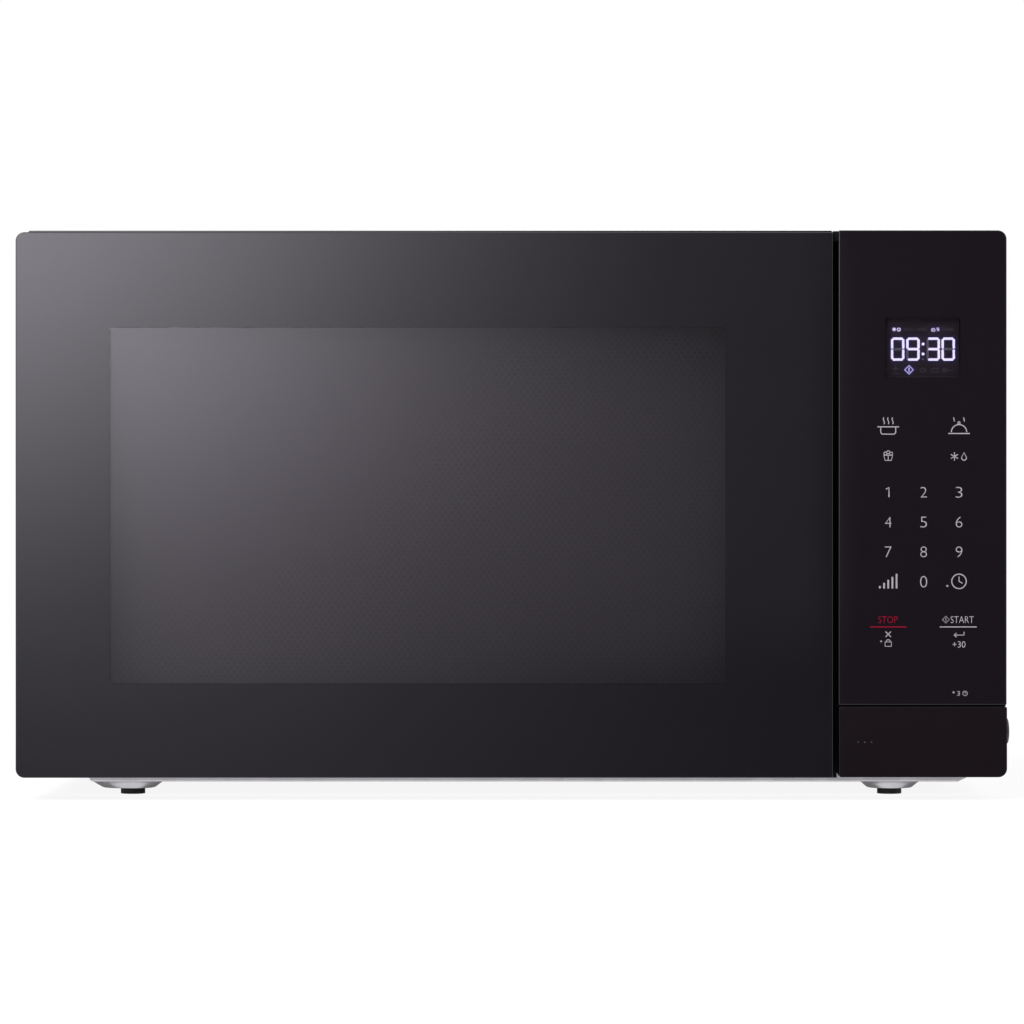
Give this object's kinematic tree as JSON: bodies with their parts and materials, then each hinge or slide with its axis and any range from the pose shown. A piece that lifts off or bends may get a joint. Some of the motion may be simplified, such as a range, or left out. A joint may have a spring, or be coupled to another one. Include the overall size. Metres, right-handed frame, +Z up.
{
  "type": "microwave oven",
  "caption": "Counter-top microwave oven with a side-hinged glass door, touch panel, release button, turntable and full cooking chamber.",
  "frame": {"origin": "middle of the bounding box's footprint, on the surface the feet stand on", "axes": "+Z up, -Y the front with the door, +X the user's right"},
  "size_m": [0.4798, 0.388, 0.274],
  "materials": {
    "front_plate": "painted steel",
    "cavity": "enamelled steel",
    "waveguide": "galvanised steel",
    "waveguide_cover": "mica sheet",
    "base_plate": "galvanised steel",
    "foot_front_left": "moulded rubber",
    "foot_front_right": "moulded rubber",
    "foot_rear_left": "moulded rubber",
    "foot_rear_right": "moulded rubber",
    "outer_cabinet": "powder coated steel",
    "rear_panel": "galvanised steel",
    "rear_spacers": "moulded",
    "cabinet_screws": "black zinc",
    "cord_gland": "moulded",
    "upper_hinge": "pressed steel, black zinc",
    "lower_hinge": "pressed steel, black zinc",
    "control_fascia": "glass printed black on its back",
    "touch_sheet": "flexible circuit",
    "display_module": "LED module",
    "control_board": "circuit board with parts",
    "control_housing": "moulded",
    "side_bumper": "moulded",
    "button_spring": "spring wire",
    "latch_board": "moulded",
    "microswitch_primary": "moulded",
    "microswitch_secondary": "moulded",
    "microswitch_monitor": "moulded",
    "turntable_motor": "zinc plated",
    "magnetron_yoke": "zinc plated",
    "magnetron_anode": "copper, with ferrite rings",
    "magnetron_fins": "sheared aluminium",
    "magnetron_filter_box": "zinc plated",
    "magnetron_leads": "silicone insulation",
    "inverter_board": "circuit board with parts",
    "inverter_transformer": "ferrite and bobbin",
    "inverter_heatsink": "extruded aluminium",
    "fan_shroud": "moulded",
    "fan_motor": "laminated steel",
    "cavity_lamp": "moulded holder with lamp",
    "noise_filter": "circuit board with coils",
    "door_glass": "tempered glass printed black on its back",
    "door_frame": "moulded, semi-gloss",
    "door_panel": "pressed steel, painted",
    "choke_cover": "moulded, fine texture",
    "inner_window": "clear sheet",
    "door_screws": "black zinc",
    "latch_spring": "spring wire",
    "latch_key": "moulded acetal",
    "release_button": "moulded, high gloss",
    "release_lever": "moulded acetal",
    "switch_plungers": "moulded",
    "turntable_shaft": "moulded acetal",
    "turntable_coupling": "moulded",
    "glass_tray": "tempered glass",
    "roller_ring": "moulded",
    "roller_1": "moulded",
    "roller_2": "moulded",
    "roller_3": "moulded",
    "fan_rotor": "ground steel",
    "fan_blade": "moulded"
  },
  "bodies": {
    "chassis": {"front_plate": "front_plate", "cavity": "cavity", "waveguide": "waveguide", "waveguide_cover": "waveguide_cover", "base_plate": "base_plate", "foot_front_left": "foot_front_left", "foot_front_right": "foot_front_right", "foot_rear_left": "foot_rear_left", "foot_rear_right": "foot_rear_right", "outer_cabinet": "outer_cabinet", "rear_panel": "rear_panel", "rear_spacers": "rear_spacers", "cabinet_screws": "cabinet_screws", "cord_gland": "cord_gland", "upper_hinge": "upper_hinge", "lower_hinge": "lower_hinge", "control_fascia": "control_fascia", "touch_sheet": "touch_sheet", "display_module": "display_module", "control_board": "control_board", "control_housing": "control_housing", "side_bumper": "side_bumper", "button_spring": "button_spring", "latch_board": "latch_board", "microswitch_primary": "microswitch_primary", "microswitch_secondary": "microswitch_secondary", "microswitch_monitor": "microswitch_monitor", "turntable_motor": "turntable_motor", "magnetron_yoke": "magnetron_yoke", "magnetron_anode": "magnetron_anode", "magnetron_fins": "magnetron_fins", "magnetron_filter_box": "magnetron_filter_box", "magnetron_leads": "magnetron_leads", "inverter_board": "inverter_board", "inverter_transformer": "inverter_transformer", "inverter_heatsink": "inverter_heatsink", "fan_shroud": "fan_shroud", "fan_motor": "fan_motor", "cavity_lamp": "cavity_lamp", "noise_filter": "noise_filter"},
    "door": {"door_glass": "door_glass", "door_frame": "door_frame", "door_panel": "door_panel", "choke_cover": "choke_cover", "inner_window": "inner_window", "door_screws": "door_screws", "latch_spring": "latch_spring"},
    "latch": {"latch_key": "latch_key"},
    "button": {"release_button": "release_button"},
    "lever": {"release_lever": "release_lever"},
    "plungers": {"switch_plungers": "switch_plungers"},
    "turntable": {"turntable_shaft": "turntable_shaft", "turntable_coupling": "turntable_coupling"},
    "tray": {"glass_tray": "glass_tray"},
    "ring": {"roller_ring": "roller_ring"},
    "roller_a": {"roller_1": "roller_1"},
    "roller_b": {"roller_2": "roller_2"},
    "roller_c": {"roller_3": "roller_3"},
    "fan": {"fan_rotor": "fan_rotor", "fan_blade": "fan_blade"}
  },
  "joints": [
    {"name": "door_hinge", "type": "hinge", "parent": "chassis", "child": "door", "pos_m": [-0.2324, -0.173, 0.142], "axis": [0, 0, -1], "range_deg": [0, 110]},
    {"name": "button_slide", "type": "slide", "parent": "chassis", "child": "button", "axis": [0, 1, 0], "range_m": [0, 0.004], "stiffness_N_per_m": 1200, "springref_m": -0.001, "deforming": ["button_spring"]},
    {"name": "lever_turn", "type": "hinge", "parent": "chassis", "child": "lever", "pos_m": [0.1639, -0.153, 0.051], "axis": [1, 0, 0], "range_deg": [0, 13.8]},
    {"name": "latch_slide", "type": "slide", "parent": "door", "child": "latch", "axis": [0, 0, 1], "range_m": [0, 0.0032], "stiffness_N_per_m": 400, "springref_m": -0.002, "deforming": ["latch_spring"]},
    {"name": "plunger_slide", "type": "slide", "parent": "chassis", "child": "plungers", "axis": [0, -1, 0], "range_m": [0, 0.0008]},
    {"name": "turntable_turn", "type": "hinge", "parent": "chassis", "child": "turntable", "pos_m": [-0.0459, 0.0053, 0.032], "axis": [0, 0, 1], "continuous": true},
    {"name": "tray_lift", "type": "slide", "parent": "turntable", "child": "tray", "axis": [0, 0, 1], "range_m": [0, 0.04]},
    {"name": "ring_turn", "type": "hinge", "parent": "chassis", "child": "ring", "pos_m": [-0.0459, 0.0053, 0.039], "axis": [0, 0, 1], "continuous": true},
    {"name": "roller_a_turn", "type": "hinge", "parent": "ring", "child": "roller_a", "pos_m": [0.0461, 0.0053, 0.039], "axis": [1, 0, 0], "continuous": true},
    {"name": "roller_b_turn", "type": "hinge", "parent": "ring", "child": "roller_b", "pos_m": [-0.0919, 0.08497, 0.039], "axis": [-0.5, 0.866, 0], "continuous": true},
    {"name": "roller_c_turn", "type": "hinge", "parent": "ring", "child": "roller_c", "pos_m": [-0.0919, -0.07437, 0.039], "axis": [-0.5, -0.866, 0], "continuous": true},
    {"name": "fan_spin", "type": "hinge", "parent": "chassis", "child": "fan", "pos_m": [0.1746, 0.1447, 0.172], "axis": [0, 1, 0], "continuous": true}
  ],
  "couplings": [
    {"joint": "lever_turn", "follows": "button_slide", "rad_per_m": 60},
    {"joint": "latch_slide", "follows": "button_slide", "ratio": 0.8},
    {"joint": "plunger_slide", "follows": "door_hinge", "m_per_rad": 0.0004167},
    {"joint": "ring_turn", "follows": "turntable_turn", "ratio": 0.5},
    {"joint": "roller_a_turn", "follows": "turntable_turn", "ratio": -6.7647},
    {"joint": "roller_b_turn", "follows": "turntable_turn", "ratio": -6.7647},
    {"joint": "roller_c_turn", "follows": "turntable_turn", "ratio": -6.7647}
  ]
}
